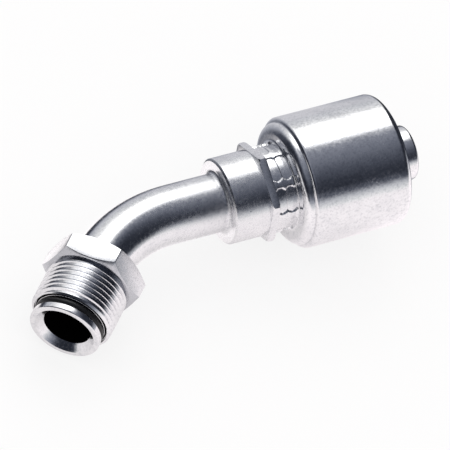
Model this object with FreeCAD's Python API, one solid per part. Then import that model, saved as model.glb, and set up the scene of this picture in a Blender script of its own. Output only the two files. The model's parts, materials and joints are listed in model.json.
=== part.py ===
"""A 45 degree bent-tube crimp fitting for a 3/4 inch hydraulic hose.

A turned stem carries the hose tail, a wrench hexagon and a collar. A crimp shell is staked
onto the stem behind the hexagon. A bent tube is brazed into the collar, and a seal nose with
an O-ring is brazed onto its other end. A threaded nut turns freely between nose and bend.

Frame, in millimetres: the origin is the centre of the shell's mouth, on the hose axis. +Z is
up as the fitting lies on a table, on its shell, a corner of the nut and the nut's thread. The
loose nut gives way a little under it. Seen from above the hose leaves along +X. Its axis climbs
a few degrees, as the nut is the smaller.
"""
import FreeCAD, Part
import math
import os

from FreeCAD import Placement, Rotation, Vector

# Bent tube
tube_diameter = 19.05
tube_wall = 2.1
bend_radius = 43.1
bend_angle = 45.0
hose_leg = 16.9            # straight tube from the bend to the collar's face
nose_leg = 17.4            # straight tube from the bend to its seat in the nose

# Turned stem
collar_diameter = 28.2
collar_length = 12.2
collar_chamfer = 0.6
stem_hex_flats = 28.58
stem_hex_width = 2.5
stem_hex_turn = 23.7       # degrees from the bend plane to a corner
stem_hex_chamfer = 0.5
socket_depth = 8.6
socket_clearance = 0.075
shank_diameter = 22.0
shank_past_wall = 0.6      # shank standing into the shell, as the hose's stop
stake_groove_width = 2.6
stake_groove_depth = 0.7
stake_clearance = 0.05
tail_diameter = 18.0
tail_bore = 14.0
tail_projection = 8.2      # tail past the shell's mouth
tail_plain_length = 12.0
tail_end_round = 0.9
tail_bore_chamfer = 0.6
barb_pitch = 3.4
barb_depth = 0.7
barb_first_gap = 4.0       # shank's end to the first barb

# Crimp shell
shell_diameter = 43.2
shell_wall = 3.0
shell_length = 37.3        # back wall's outer face to the mouth
back_wall = 3.6
shell_corner = 1.2         # roll from the shoulder line to the barrel
shoulder_line_depth = 0.2
bead_radius = 3.0          # bulge of the shoulder
mouth_round = 2.4
mouth_chamfer = 0.4
neck_diameter = 28.6
neck_length = 7.1
neck_fillet = 1.2
neck_front_chamfer = 0.3
tooth_pitch = 4.2
tooth_height = 1.4
tooth_crest = 1.2
tooth_foot = 2.6
tooth_first_gap = 4.5

# Staked neck
jaws = 8
jaw_ridge_turn = 28.5      # degrees from the bend plane to a ridge
ridge_angle = 12.4
jaw_depth = 0.55
jaw_end_gap = 0.35         # neck left whole between the prints and the back wall
score_width = 0.35
score_depth = 0.2

# Braze fillet at the collar
braze_length = 1.5
braze_height = 1.3

# Swivel nut
nut_hex_flats = 28.58
nut_hex_width = 8.4
nut_hex_turn = 8.6         # degrees from the bend plane to a corner
nut_give = 6.5             # degrees that the loose nut gives way as the fitting lies down
nut_back_overhang = 2.4    # hexagon reaching back over the end of the bend
nut_face_diameter = 27.4   # flat end face inside the corners' chamfer
thread_diameter = 26.99
thread_relief_diameter = 24.8
thread_relief_width = 0.6
thread_length = 14.2
thread_chamfer = 1.0
nut_tube_clearance = 0.3
nut_sleeve_clearance = 0.4
nut_rim_chamfer = 0.35

# Seal nose
sleeve_wall = 1.95         # sleeve outside the tube's seat
flange_rise = 0.15         # pilot flange over the sleeve
nose_flange_width = 2.3
nose_projection = 4.85     # nose past the nut's front face
nose_bore = 15.4
nose_cone_diameter = 20.0
nose_cone_angle = 47.0     # half angle of the seat cone
nose_edge_round = 0.45
sleeve_socket_depth = 8.0
nut_shoulder_gap = 0.3     # end float between the nut's shoulder and the sleeve

# O-ring
ring_section = 2.4
ring_groove_width = 2.6
ring_side_gap = 0.1
ring_floor_gap = 0.05
ring_stand_proud = 0.05    # ring past the flange's outside

AXIS = Vector(1, 0, 0)
GUESS = (-0.06, -0.1)      # slopes of the table along the hose axis and across it
NEWTON_STEP = 1e-5
NEWTON_ROUNDS = 12
TURNABOUT = 180.0
OVER = 1.0                 # how far a cutting solid runs past what it cuts
HEX_SLOPE = math.tan(math.radians(30))     # how corners are turned off, from the end face
ARC_SHARE = 1 - math.sqrt(0.5)             # how far a quarter arc's middle is from its ends' lines

tube_r = tube_diameter / 2
shell_r = shell_diameter / 2
tail_r = tail_diameter / 2
shank_r = shank_diameter / 2
shell_hole_r = shank_r + stake_clearance
neck_r = neck_diameter / 2
thread_r = thread_diameter / 2
seat_r = tube_r + socket_clearance
sleeve_r = seat_r + sleeve_wall
nose_r = sleeve_r + flange_rise
ring_centre_r = nose_r + ring_stand_proud - ring_section / 2
groove_floor_r = ring_centre_r - ring_section / 2 - ring_floor_gap

# Stations along the hose axis, counted back from the shell's mouth
x_back_face = -shell_length
x_back_inside = x_back_face + back_wall
x_shank_end = x_back_inside + shank_past_wall
x_neck_front = x_back_face - neck_length
x_hex_front = x_neck_front - stem_hex_width
x_collar_face = x_hex_front - collar_length
x_socket_end = x_collar_face + socket_depth
x_bend = x_collar_face - hose_leg
x_barrel_front = x_back_face + bead_radius + shell_corner

# Stations along the nut axis, counted from the end of the bend
s_nut_back = -nut_back_overhang
s_hex_front = s_nut_back + nut_hex_width
s_nut_front = s_hex_front + thread_relief_width + thread_length
s_nose_front = s_nut_front + nose_projection
s_flange_back = s_nose_front - nose_flange_width
s_groove_back = s_flange_back - ring_groove_width
s_sleeve_back = nose_leg - sleeve_socket_depth
s_nut_shoulder = s_sleeve_back - nut_shoulder_gap


def turned(start, *steps):
    """A solid of revolution about X. A step is the next (x, r) corner of the section, or a
    pair of points for an arc: one that it passes through and its end."""
    edges = []
    here = Vector(start[0], start[1], 0)
    first = here
    for step in steps:
        if isinstance(step[0], tuple):
            through, end = (Vector(x, r, 0) for x, r in step)
            edges.append(Part.Arc(here, through, end).toShape())
        else:
            end = Vector(step[0], step[1], 0)
            edges.append(Part.LineSegment(here, end).toShape())
        here = end
    edges.append(Part.LineSegment(here, first).toShape())
    return Part.Face(Part.Wire(edges)).revolve(Vector(), AXIS, 360)


def arc_to(centre, radius, from_angle, to_angle):
    """The (through, end) step of an arc about a centre, with its angles in degrees."""
    def point(angle):
        turn = math.radians(angle)
        return (centre[0] + radius * math.cos(turn), centre[1] + radius * math.sin(turn))
    return (point((from_angle + to_angle) / 2), point(to_angle))


def bored(x0, x1, radius):
    """A plain cylinder along X to cut a bore with."""
    return Part.makeCylinder(radius, x1 - x0, Vector(x0, 0, 0), AXIS)


def hexagon(x0, width, flats, turn, face_r):
    """A wrench hexagon along X whose corners are turned off by a cone at either end, down to
    the radius of its flat end face."""
    corner_r = flats / math.sqrt(3)
    corners = [
        Vector(x0, corner_r * math.cos(a), corner_r * math.sin(a))
        for a in (math.radians(turn + 60 * k) for k in range(7))
    ]
    prism = Part.Face(Part.makePolygon(corners)).extrude(Vector(width, 0, 0))
    outside_r = corner_r + OVER
    drop = (outside_r - face_r) * HEX_SLOPE
    cone = turned(
        (x0, 0), (x0, face_r), (x0 + drop, outside_r),
        (x0 + width - drop, outside_r), (x0 + width, face_r), (x0 + width, 0),
    )
    return prism.common(cone)


def nut_place():
    """Carries a piece modelled along X from the end of the bend onto the nut's axis."""
    bend = math.radians(bend_angle)
    x_end = x_bend - bend_radius * math.sin(bend)
    y_end = -bend_radius * (1 - math.cos(bend))
    return Placement(Vector(x_end, y_end, 0), Rotation(Vector(0, 0, 1), TURNABOUT + bend_angle))


def table_reaches(down):
    """How far the shell's barrel, the end of the nut's thread and the lowest corner of the nut,
    once it has given way, each reach towards a table that lies in the given direction."""
    nut = nut_place()
    nut_axis = nut.Rotation.multVec(AXIS)
    thread_end = nut.multVec(Vector(s_nut_front - thread_chamfer, 0, 0))
    corner_r = nut_hex_flats / math.sqrt(3)
    s_corner = s_hex_front - (corner_r - nut_face_diameter / 2) * HEX_SLOPE
    corner_turns = (math.radians(nut_hex_turn - nut_give + 60 * k) for k in range(6))
    corners = [
        nut.multVec(Vector(s_corner, corner_r * math.cos(a), corner_r * math.sin(a)))
        for a in corner_turns
    ]
    return (
        x_barrel_front * down.x + shell_r * down.cross(AXIS).Length,
        thread_end.dot(down) + thread_r * down.cross(nut_axis).Length,
        max(corner.dot(down) for corner in corners),
    )


def lying_place():
    """Turns the fitting, modelled with its hose axis on X and its bend in the XY plane, to the
    way it lies: its three reaches towards the table are made equal by Newton's method."""
    def down(pitch, roll):
        return Vector(pitch, roll, -1).normalize()

    def unevenness(pitch, roll):
        barrel, thread, corner = table_reaches(down(pitch, roll))
        return thread - barrel, corner - barrel

    pitch, roll = GUESS
    step = NEWTON_STEP
    for _ in range(NEWTON_ROUNDS):
        a, b = unevenness(pitch, roll)
        a_pitch, b_pitch = ((v - w) / step for v, w in zip(unevenness(pitch + step, roll), (a, b)))
        a_roll, b_roll = ((v - w) / step for v, w in zip(unevenness(pitch, roll + step), (a, b)))
        spread = a_pitch * b_roll - a_roll * b_pitch
        pitch -= (a * b_roll - b * a_roll) / spread
        roll -= (b * a_pitch - a * b_pitch) / spread
    up = down(pitch, roll) * -1
    along = (AXIS - up * AXIS.dot(up)).normalize()
    return Placement(Vector(), Rotation(along, up.cross(along), up, "ZXY").inverted())


def make_hose_stem():
    """Hose tail, stop shank, wrench hexagon and tube collar, turned in one piece."""
    x_tip = tail_projection
    collar_r = collar_diameter / 2
    valley_r = tail_r - barb_depth
    groove_mid = x_neck_front + neck_length / 2
    groove_r = shank_r - stake_groove_depth
    x_barbs_end = x_tip - tail_plain_length
    x_barb = x_shank_end + barb_first_gap
    barbs = [(x_barb, tail_r)]
    while x_barb + barb_pitch <= x_barbs_end:
        barbs += [(x_barb, valley_r), (x_barb + barb_pitch, tail_r)]
        x_barb += barb_pitch
    body = turned(
        (x_collar_face, 0),
        (x_collar_face, collar_r - collar_chamfer),
        (x_collar_face + collar_chamfer, collar_r),
        (x_neck_front, collar_r),
        (x_neck_front, shank_r),
        (groove_mid - stake_groove_width / 2, shank_r),
        (groove_mid - stake_groove_width / 2, groove_r),
        (groove_mid + stake_groove_width / 2, groove_r),
        (groove_mid + stake_groove_width / 2, shank_r),
        (x_shank_end, shank_r),
        (x_shank_end, tail_r),
        *barbs,
        (x_tip - tail_end_round, tail_r),
        arc_to((x_tip - tail_end_round, tail_r - tail_end_round), tail_end_round, 90, 0),
        (x_tip, 0),
    )
    wrench = hexagon(
        x_hex_front, stem_hex_width, stem_hex_flats, stem_hex_turn,
        stem_hex_flats / 2 + stem_hex_chamfer,
    )
    body = body.fuse(wrench).removeSplitter()
    bore_r = tail_bore / 2
    mouth = turned(
        (x_tip - tail_bore_chamfer, 0), (x_tip - tail_bore_chamfer, bore_r),
        (x_tip + tail_bore_chamfer, bore_r + 2 * tail_bore_chamfer),
        (x_tip + tail_bore_chamfer, 0),
    )
    body = body.cut(bored(x_collar_face - OVER, x_tip + OVER, bore_r))
    body = body.cut(bored(x_collar_face - OVER, x_socket_end, seat_r))
    return body.cut(mouth)


def shell_teeth(root_r):
    """The section's corners along the rings inside the shell that bite into the hose."""
    slope = (tooth_foot - tooth_crest) / 2
    crest_r = root_r - tooth_height
    corners = []
    x_tooth = -mouth_chamfer - mouth_round - tooth_foot
    while x_tooth > x_back_inside + tooth_first_gap:
        corners += [
            (x_tooth + tooth_foot, root_r), (x_tooth + tooth_foot - slope, crest_r),
            (x_tooth + slope, crest_r), (x_tooth, root_r),
        ]
        x_tooth -= tooth_pitch
    return corners


def make_crimp_shell():
    """The shell that is crimped over the hose, with its neck staked onto the stem."""
    root_r = shell_r - shell_wall
    mouth_r = root_r + mouth_chamfer
    line_r = shell_r - shell_corner
    bead_r = line_r - shoulder_line_depth
    bead_centre = (x_back_face + bead_radius, bead_r - bead_radius)
    x_line = bead_centre[0]
    groove_mid = x_neck_front + neck_length / 2
    ring_r = shell_hole_r - stake_groove_depth
    half_ring = stake_groove_width / 2 - stake_clearance
    shell = turned(
        (x_neck_front, shell_hole_r),
        (x_neck_front, neck_r - neck_front_chamfer),
        (x_neck_front + neck_front_chamfer, neck_r),
        (x_back_face - neck_fillet, neck_r),
        arc_to((x_back_face - neck_fillet, neck_r + neck_fillet), neck_fillet, -90, 0),
        (x_back_face, bead_centre[1]),
        arc_to(bead_centre, bead_radius, 180, 90),
        (x_line, line_r),
        arc_to((x_line + shell_corner, line_r), shell_corner, 180, 90),
        (-mouth_round, shell_r),
        arc_to((-mouth_round, shell_r - mouth_round), mouth_round, 90, 0),
        (0, mouth_r),
        (-mouth_chamfer, root_r),
        *shell_teeth(root_r),
        (x_back_inside, root_r),
        (x_back_inside, shell_hole_r),
        (groove_mid + half_ring, shell_hole_r),
        (groove_mid + half_ring, ring_r),
        (groove_mid - half_ring, ring_r),
        (groove_mid - half_ring, shell_hole_r),
    )
    for jaw_print in jaw_prints():
        shell = shell.cut(jaw_print)
    return shell


def jaw_prints():
    """What each staking jaw presses away from the neck, with the score line at its middle."""
    pressed_r = neck_r - jaw_depth
    scored_r = pressed_r - score_depth
    outside_r = neck_r + OVER
    x0 = x_neck_front - OVER
    x1 = x_back_face - jaw_end_gap
    middle = (x_neck_front + x1) / 2
    corners = [
        (x0, outside_r), (x0, pressed_r),
        (middle - score_width / 2, pressed_r), (middle - score_width / 2, scored_r),
        (middle + score_width / 2, scored_r), (middle + score_width / 2, pressed_r),
        (x1, pressed_r), (x1, outside_r), (x0, outside_r),
    ]
    section = Part.Face(Part.makePolygon([Vector(x, r, 0) for x, r in corners]))
    spacing = 360 / jaws
    one = section.revolve(Vector(), AXIS, spacing - ridge_angle)
    prints = []
    for k in range(jaws):
        turn = jaw_ridge_turn + ridge_angle / 2 + k * spacing
        copy = one.copy()
        copy.rotate(Vector(), AXIS, turn)
        prints.append(copy)
    return prints


def make_bent_tube():
    """The tube, swept along its seat in the collar, the bend and its seat in the nose."""
    bend = math.radians(bend_angle)
    centre = Vector(x_bend, -bend_radius, 0)

    def on_bend(angle):
        return centre + Vector(-math.sin(angle), math.cos(angle), 0) * bend_radius

    start = Vector(x_socket_end, 0, 0)
    bend_end = on_bend(bend)
    end = bend_end + Vector(-math.cos(bend), -math.sin(bend), 0) * nose_leg
    path = Part.Wire([
        Part.LineSegment(start, on_bend(0)).toShape(),
        Part.Arc(on_bend(0), on_bend(bend / 2), bend_end).toShape(),
        Part.LineSegment(bend_end, end).toShape(),
    ])

    def swept(radius):
        ring = Part.Wire(Part.makeCircle(radius, start, AXIS))
        return path.makePipeShell([ring], True, True)

    return swept(tube_r).cut(swept(tube_r - tube_wall))


def make_braze_fillet():
    """The braze metal that stands as a hollow fillet between the tube and the collar."""
    outer = (x_collar_face, tube_r + braze_height)
    tip = (x_collar_face - braze_length, tube_r)
    hollow = (x_collar_face - braze_length * ARC_SHARE, tube_r + braze_height * ARC_SHARE)
    return turned((x_collar_face, tube_r), outer, (hollow, tip))


def make_swivel_nut():
    """Hexagon and male thread in one piece, bored for the tube and counterbored for the nose.
    The thread is left at its outside diameter."""
    body = hexagon(
        s_nut_back, nut_hex_width, nut_hex_flats, nut_hex_turn, nut_face_diameter / 2,
    )
    relief_r = thread_relief_diameter / 2
    s_thread = s_hex_front + thread_relief_width
    s_mid_hex = s_nut_back + nut_hex_width / 2
    shank = turned(
        (s_mid_hex, 0), (s_mid_hex, relief_r), (s_thread, relief_r),
        (s_thread + (thread_r - relief_r), thread_r),
        (s_nut_front - thread_chamfer, thread_r),
        (s_nut_front, thread_r - thread_chamfer), (s_nut_front, 0),
    )
    body = body.fuse(shank)
    tube_hole_r = tube_r + nut_tube_clearance
    sleeve_hole_r = sleeve_r + nut_sleeve_clearance
    rim_r = sleeve_hole_r + nut_rim_chamfer
    hollow = turned(
        (s_nut_back - OVER, 0), (s_nut_back - OVER, tube_hole_r),
        (s_nut_shoulder, tube_hole_r), (s_nut_shoulder, sleeve_hole_r),
        (s_nut_front - nut_rim_chamfer, sleeve_hole_r), (s_nut_front, rim_r),
        (s_nut_front + OVER, rim_r), (s_nut_front + OVER, 0),
    )
    return body.cut(hollow).removeSplitter()


def make_seal_nose():
    """Sleeve brazed onto the tube, with the O-ring's groove, the pilot flange and the cone."""
    cone_r = nose_cone_diameter / 2
    bore_r = nose_bore / 2
    cone_depth = (cone_r - bore_r) / math.tan(math.radians(nose_cone_angle))
    edge = nose_edge_round
    return turned(
        (s_sleeve_back, seat_r), (s_sleeve_back, sleeve_r),
        (s_groove_back, sleeve_r), (s_groove_back, groove_floor_r),
        (s_flange_back, groove_floor_r), (s_flange_back, nose_r - edge),
        arc_to((s_flange_back + edge, nose_r - edge), edge, 180, 90),
        (s_nose_front - edge, nose_r),
        arc_to((s_nose_front - edge, nose_r - edge), edge, 90, 0),
        (s_nose_front, cone_r), (s_nose_front - cone_depth, bore_r),
        (nose_leg, bore_r), (nose_leg, seat_r),
    )


def make_o_ring():
    """The rubber ring in the nose's groove, lying against the pilot flange."""
    s_centre = s_flange_back - ring_side_gap - ring_section / 2
    return Part.makeTorus(ring_centre_r, ring_section / 2, Vector(s_centre, 0, 0), AXIS)


def save(name, shape, place):
    shape.Placement = place * shape.Placement
    shape.exportStep(os.path.join("parts", name + ".step"))
    print(f"{name}: {shape.Volume:.1f} mm3, {len(shape.Solids)} solid, valid {shape.isValid()}")


def main():
    os.makedirs("parts", exist_ok=True)
    on_hose_axis = lying_place()
    on_nut_axis = on_hose_axis * nut_place()
    save("hose_stem", make_hose_stem(), on_hose_axis)
    save("crimp_shell", make_crimp_shell(), on_hose_axis)
    save("bent_tube", make_bent_tube(), on_hose_axis)
    save("braze_fillet", make_braze_fillet(), on_hose_axis)
    save("swivel_nut", make_swivel_nut(), on_nut_axis)
    save("seal_nose", make_seal_nose(), on_nut_axis)
    save("o_ring", make_o_ring(), on_nut_axis)


main()
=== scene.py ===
"""Looks of a crimp hydraulic hose fitting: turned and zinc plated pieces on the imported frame.

Each piece is modelled along X, either from the centre of the shell's mouth on the hose axis or
from the end of the bend on the nut's axis, and is then carried onto the frame's own axes.
"""

import json
import math

import bpy
import numpy as np
from bpy.props import FloatProperty, FloatVectorProperty, IntProperty, PointerProperty
from mathutils import Matrix, Vector


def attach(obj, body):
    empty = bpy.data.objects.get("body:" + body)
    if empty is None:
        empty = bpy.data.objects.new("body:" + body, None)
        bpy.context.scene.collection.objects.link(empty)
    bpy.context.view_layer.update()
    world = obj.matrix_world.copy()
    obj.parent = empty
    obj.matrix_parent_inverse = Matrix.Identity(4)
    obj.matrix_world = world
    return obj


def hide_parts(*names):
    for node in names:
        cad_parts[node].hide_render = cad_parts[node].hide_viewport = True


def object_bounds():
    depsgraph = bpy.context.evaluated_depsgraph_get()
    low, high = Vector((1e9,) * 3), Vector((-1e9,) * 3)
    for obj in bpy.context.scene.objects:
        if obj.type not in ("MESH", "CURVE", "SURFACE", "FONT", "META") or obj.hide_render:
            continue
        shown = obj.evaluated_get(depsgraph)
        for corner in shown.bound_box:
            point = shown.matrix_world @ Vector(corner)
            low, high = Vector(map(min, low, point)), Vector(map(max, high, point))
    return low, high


bl_info = {
    "name": "Crimp hose fitting",
    "version": (1, 0, 0),
    "blender": (4, 5, 0),
    "location": "View3D > Sidebar > Hose fitting",
    "description": "Models the pieces of a crimp hose fitting and the studio that shows them",
    "category": "Object",
}

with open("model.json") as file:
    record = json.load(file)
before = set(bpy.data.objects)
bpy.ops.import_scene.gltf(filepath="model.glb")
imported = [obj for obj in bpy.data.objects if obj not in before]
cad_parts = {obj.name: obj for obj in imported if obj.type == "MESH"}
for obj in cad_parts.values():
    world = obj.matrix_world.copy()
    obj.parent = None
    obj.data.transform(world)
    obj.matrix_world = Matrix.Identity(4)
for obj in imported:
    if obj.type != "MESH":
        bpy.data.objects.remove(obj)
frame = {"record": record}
CAD_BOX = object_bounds()
MOUNTS = {mount["name"]: mount for mount in frame["record"]["mounts"]}

MM = 0.001
TURN = math.tau
HEX = 6
SQRT3 = math.sqrt(3)
INCH = 25.4 * MM
THREADS_PER_INCH = 14
WELD = 1e-7                  # points closer than this are one point
STEPS = 192                  # flats round a turned piece
SHELL_STEPS = 288            # the same round the shell, whose prints need more
CLEAR = 0.05 * MM            # room between two pieces that sit on each other
BRAZE_FILM = 0.075 * MM      # room for braze metal round the tube in its seats
TURNED_EDGE = 0.15 * MM      # rounding of an edge that the lathe only broke
SHARP_EDGE = 0.12 * MM       # rounding of an edge that was left nearly sharp


def mount_diameter(name):
    """Diameter of a round mount."""
    return 2 * MOUNTS[name]["dims"]["r_mm"] * MM


class ShellSizes(bpy.types.PropertyGroup):
    """Sizes of the crimp shell."""
    diameter: FloatProperty(
        name="Diameter", description="Outside of the barrel", default=43.2 * MM, unit="LENGTH")
    wall: FloatProperty(
        name="Wall", description="Barrel wall to the root between the teeth", default=3.0 * MM,
        unit="LENGTH")
    length: FloatProperty(
        name="Length", description="Back wall to the mouth", default=37.3 * MM, unit="LENGTH")
    back_wall: FloatProperty(
        name="Back wall", description="Thickness of the back wall", default=3.6 * MM, unit="LENGTH")
    shoulder: FloatProperty(
        name="Shoulder", description="Radius of the bulging shoulder", default=3.0 * MM, unit="LENGTH")
    corner: FloatProperty(
        name="Corner", description="Roll from the shoulder line to the barrel", default=1.2 * MM,
        unit="LENGTH")
    line_depth: FloatProperty(
        name="Line depth", description="Height of the step at the shoulder line", default=0.2 * MM,
        unit="LENGTH")
    mouth_round: FloatProperty(
        name="Mouth round", description="Roll of the barrel into the mouth", default=2.4 * MM,
        unit="LENGTH")
    mouth_chamfer: FloatProperty(
        name="Mouth chamfer", description="Chamfer inside the mouth", default=0.4 * MM, unit="LENGTH")
    neck_diameter: FloatProperty(
        name="Neck diameter", description="Neck before it is staked", default=28.6 * MM, unit="LENGTH")
    neck_length: FloatProperty(
        name="Neck length", description="Stem hexagon to the back wall", default=7.1 * MM, unit="LENGTH")
    neck_fillet: FloatProperty(
        name="Neck fillet", description="Hollow between neck and back wall", default=1.2 * MM,
        unit="LENGTH")
    jaws: IntProperty(
        name="Jaws", description="Flats pressed round the neck", default=8, min=3)
    jaw_depth: FloatProperty(
        name="Jaw depth", description="Depth of each pressed flat", default=0.55 * MM, unit="LENGTH")
    print_gap: FloatProperty(
        name="Print gap", description="Neck left whole before the back wall", default=0.35 * MM,
        unit="LENGTH")
    score_depth: FloatProperty(
        name="Score depth", description="Depth of the line across each flat", default=0.2 * MM,
        unit="LENGTH")
    ridge_turn: FloatProperty(
        name="Ridge turn", description="From the bend plane to a ridge between flats",
        default=math.radians(28.5), subtype="ANGLE")
    ridge_width: FloatProperty(
        name="Ridge width", description="Angle that a ridge takes",
        default=math.radians(12.4), subtype="ANGLE")
    tooth_pitch: FloatProperty(
        name="Tooth pitch", description="From one biting ring to the next", default=4.2 * MM,
        unit="LENGTH")
    tooth_height: FloatProperty(
        name="Tooth height", description="Height of a biting ring", default=1.4 * MM, unit="LENGTH")
    tooth_foot: FloatProperty(
        name="Tooth foot", description="Width of a biting ring at its root", default=2.6 * MM,
        unit="LENGTH")
    tooth_crest: FloatProperty(
        name="Tooth crest", description="Width of a biting ring at its crest", default=1.2 * MM,
        unit="LENGTH")
    plain_pocket: FloatProperty(
        name="Plain pocket", description="Pocket with no rings before the back wall", default=4.5 * MM,
        unit="LENGTH")


class StemSizes(bpy.types.PropertyGroup):
    """Sizes of the turned stem."""
    collar_diameter: FloatProperty(
        name="Collar diameter", description="Round collar that holds the tube", default=28.2 * MM,
        unit="LENGTH")
    collar_length: FloatProperty(
        name="Collar length", description="Collar face to the hexagon", default=12.2 * MM, unit="LENGTH")
    collar_chamfer: FloatProperty(
        name="Collar chamfer", description="Chamfer round the collar's face", default=0.6 * MM,
        unit="LENGTH")
    hex_flats: FloatProperty(
        name="Hexagon flats", description="Across the flats of the thin hexagon", default=28.58 * MM,
        unit="LENGTH")
    hex_width: FloatProperty(
        name="Hexagon width", description="Thickness of the thin hexagon", default=2.5 * MM,
        unit="LENGTH")
    hex_turn: FloatProperty(
        name="Hexagon turn", description="From the bend plane to a corner",
        default=math.radians(23.7), subtype="ANGLE")
    hex_chamfer: FloatProperty(
        name="Hexagon chamfer", description="How far its corners are turned down", default=0.5 * MM,
        unit="LENGTH")
    hex_slope: FloatProperty(
        name="Hexagon slope", description="Chamfer's slope from the end faces",
        default=math.radians(45), subtype="ANGLE")
    shank_diameter: FloatProperty(
        name="Shank diameter", description="Shank inside the shell's neck", default=22.0 * MM,
        unit="LENGTH")
    shank_past_wall: FloatProperty(
        name="Shank past wall", description="Shank standing into the shell", default=0.6 * MM,
        unit="LENGTH")
    tail_diameter: FloatProperty(
        name="Tail diameter", description="Hose tail over its barbs",
        default=mount_diameter("hose_tail"), unit="LENGTH")
    tail_bore: FloatProperty(
        name="Tail bore", description="Bore through the stem",
        default=mount_diameter("hose_bore"), unit="LENGTH")
    tail_projection: FloatProperty(
        name="Tail projection", description="Tail past the shell's mouth", default=8.2 * MM,
        unit="LENGTH")
    tail_plain: FloatProperty(
        name="Plain tail", description="Tail with no barbs, back from its end", default=12.0 * MM,
        unit="LENGTH")
    tail_round: FloatProperty(
        name="Tail round", description="Roll of the tail's end", default=0.9 * MM, unit="LENGTH")
    bore_chamfer: FloatProperty(
        name="Bore chamfer", description="Chamfer round the bore's end", default=0.6 * MM, unit="LENGTH")
    first_barb: FloatProperty(
        name="First barb", description="From the shank to the first barb", default=4.0 * MM,
        unit="LENGTH")
    barb_pitch: FloatProperty(
        name="Barb pitch", description="From one barb to the next", default=3.4 * MM, unit="LENGTH")
    barb_depth: FloatProperty(
        name="Barb depth", description="Depth of each barb's notch", default=0.7 * MM, unit="LENGTH")
    socket_depth: FloatProperty(
        name="Socket depth", description="Tube seat in the collar", default=8.6 * MM, unit="LENGTH")


class TubeSizes(bpy.types.PropertyGroup):
    """Sizes of the bent tube and of the braze round it."""
    diameter: FloatProperty(
        name="Diameter", description="Outside of the tube", default=19.05 * MM, unit="LENGTH")
    wall: FloatProperty(
        name="Wall", description="Thickness of the tube's wall", default=2.1 * MM, unit="LENGTH")
    bend_radius: FloatProperty(
        name="Bend radius", description="Radius of the tube's centre line", default=43.1 * MM,
        unit="LENGTH")
    nose_leg: FloatProperty(
        name="Nose leg", description="Straight tube from the bend into the nose", default=17.4 * MM,
        unit="LENGTH")
    braze_length: FloatProperty(
        name="Braze length", description="Braze fillet along the tube", default=1.5 * MM, unit="LENGTH")
    braze_height: FloatProperty(
        name="Braze height", description="Braze fillet up the collar", default=1.3 * MM, unit="LENGTH")


class NutSizes(bpy.types.PropertyGroup):
    """Sizes of the swivel nut."""
    hex_flats: FloatProperty(
        name="Hexagon flats", description="Across the flats", default=28.58 * MM, unit="LENGTH")
    hex_width: FloatProperty(
        name="Hexagon width", description="Back face to front face", default=8.4 * MM, unit="LENGTH")
    hex_turn: FloatProperty(
        name="Hexagon turn", description="From the bend plane to a corner",
        default=math.radians(8.6), subtype="ANGLE")
    overhang: FloatProperty(
        name="Overhang", description="Hexagon over the end of the bend", default=2.4 * MM, unit="LENGTH")
    hex_slope: FloatProperty(
        name="Hexagon slope", description="Chamfer's slope from the end faces",
        default=math.radians(30), subtype="ANGLE")
    face_diameter: FloatProperty(
        name="Face diameter", description="Flat end face inside the corners' chamfer", default=27.4 * MM,
        unit="LENGTH")
    thread_diameter: FloatProperty(
        name="Thread diameter", description="Outside of the thread",
        default=mount_diameter("port_thread"), unit="LENGTH")
    thread_pitch: FloatProperty(
        name="Thread pitch", description="One turn of the thread",
        default=INCH / THREADS_PER_INCH, unit="LENGTH")
    thread_length: FloatProperty(
        name="Thread length", description="Relief to the nut's front", default=14.2 * MM, unit="LENGTH")
    relief_width: FloatProperty(
        name="Relief width", description="Plain groove behind the thread", default=0.6 * MM,
        unit="LENGTH")
    relief_diameter: FloatProperty(
        name="Relief diameter", description="Bottom of the groove", default=24.8 * MM, unit="LENGTH")
    thread_turn: FloatProperty(
        name="Thread turn", description="Turns the whole thread round the axis", default=0.0,
        subtype="ANGLE")
    thread_chamfer: FloatProperty(
        name="Thread chamfer", description="Chamfer at the thread's end", default=1.0 * MM,
        unit="LENGTH")
    tube_hole: FloatProperty(
        name="Tube hole", description="Hole that the tube runs through", default=19.65 * MM,
        unit="LENGTH")
    sleeve_hole: FloatProperty(
        name="Sleeve hole", description="Counterbore round the nose's sleeve", default=23.9 * MM,
        unit="LENGTH")
    shoulder_at: FloatProperty(
        name="Shoulder", description="Nut's inner shoulder from the bend", default=9.1 * MM,
        unit="LENGTH")


class NoseSizes(bpy.types.PropertyGroup):
    """Sizes of the seal nose and its O-ring."""
    diameter: FloatProperty(
        name="Diameter", description="Outside of the pilot flange", default=23.4 * MM, unit="LENGTH")
    flange_width: FloatProperty(
        name="Flange width", description="Width of the pilot flange", default=2.3 * MM, unit="LENGTH")
    projection: FloatProperty(
        name="Projection", description="Nose past the nut's front", default=4.85 * MM, unit="LENGTH")
    bore: FloatProperty(
        name="Bore", description="Bore at the bottom of the cone",
        default=mount_diameter("port_bore"), unit="LENGTH")
    cone_diameter: FloatProperty(
        name="Cone diameter", description="Mouth of the seat cone", default=20.0 * MM, unit="LENGTH")
    cone_angle: FloatProperty(
        name="Cone angle", description="Half angle of the seat cone",
        default=math.radians(47), subtype="ANGLE")
    sleeve_diameter: FloatProperty(
        name="Sleeve diameter", description="Sleeve inside the nut", default=23.1 * MM, unit="LENGTH")
    socket_depth: FloatProperty(
        name="Socket depth", description="Tube seat in the sleeve", default=8.0 * MM, unit="LENGTH")
    ring_section: FloatProperty(
        name="Ring section", description="Thickness of the O-ring", default=2.4 * MM, unit="LENGTH")
    groove_width: FloatProperty(
        name="Groove width", description="O-ring groove", default=2.6 * MM, unit="LENGTH")


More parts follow.
